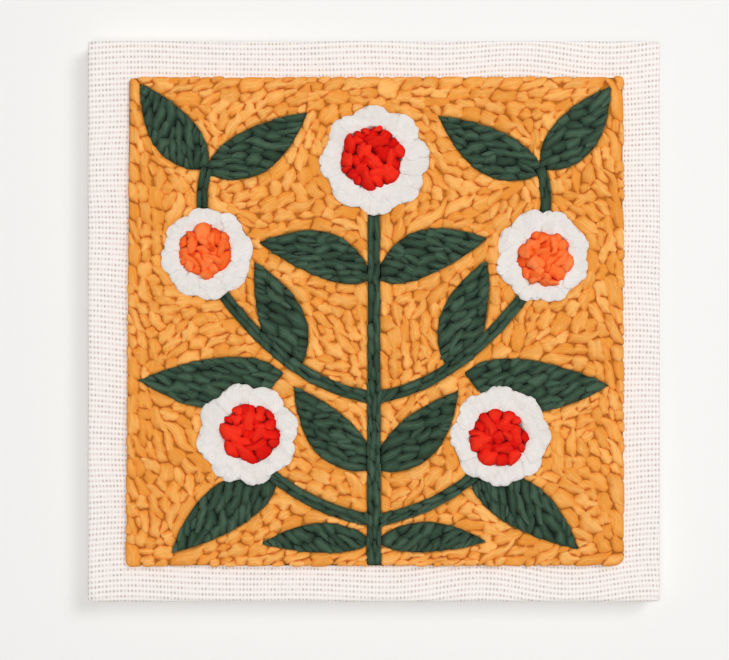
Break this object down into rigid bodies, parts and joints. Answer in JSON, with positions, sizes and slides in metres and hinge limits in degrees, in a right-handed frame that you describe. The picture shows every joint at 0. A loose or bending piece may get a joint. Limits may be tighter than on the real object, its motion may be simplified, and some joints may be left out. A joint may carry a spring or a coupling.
{
  "type": "embroidered cloth square on a stretcher frame",
  "caption": "Square cotton panel stretched over a wooden frame, its face filled with chunky wool stitches in a design of flowers and leaves.",
  "frame": {"origin": "middle of the back, at the lowest face of the turned-over cloth", "axes": "+X right and +Y up across the face as it is seen from the front, +Z out of the embroidered face"},
  "size_m": [0.3, 0.294, 0.0274],
  "materials": {
    "wood": "planed, unvarnished",
    "cotton": "coarse evenweave",
    "ochre_wool": "soft bulky yarn",
    "green_wool": "soft bulky yarn",
    "white_wool": "soft bulky yarn",
    "red_wool": "soft looped yarn",
    "orange_wool": "soft looped yarn"
  },
  "bodies": {
    "root": {"frame_bar_bottom": "wood", "frame_bar_left": "wood", "frame_bar_right": "wood", "frame_bar_top": "wood", "ground_cloth": "cotton", "ground_stitches": "ochre_wool", "leaf_branch_left": "green_wool", "leaf_branch_right": "green_wool", "leaf_brow_left": "green_wool", "leaf_brow_right": "green_wool", "leaf_corner_left": "green_wool", "leaf_corner_right": "green_wool", "leaf_crown_left": "green_wool", "leaf_crown_right": "green_wool", "leaf_foot_left": "green_wool", "leaf_foot_right": "green_wool", "leaf_heart_left": "green_wool", "leaf_heart_right": "green_wool", "leaf_peak_left": "green_wool", "leaf_peak_right": "green_wool", "leaf_side_left": "green_wool", "leaf_side_right": "green_wool", "petals_left": "white_wool", "petals_low_left": "white_wool", "petals_low_right": "white_wool", "petals_right": "white_wool", "petals_top": "white_wool", "stem_top_left": "green_wool", "stem_top_right": "green_wool", "stems": "green_wool", "tuft_left": "orange_wool", "tuft_low_left": "red_wool", "tuft_low_right": "red_wool", "tuft_right": "orange_wool", "tuft_top": "red_wool"}
  },
  "joints": []
}
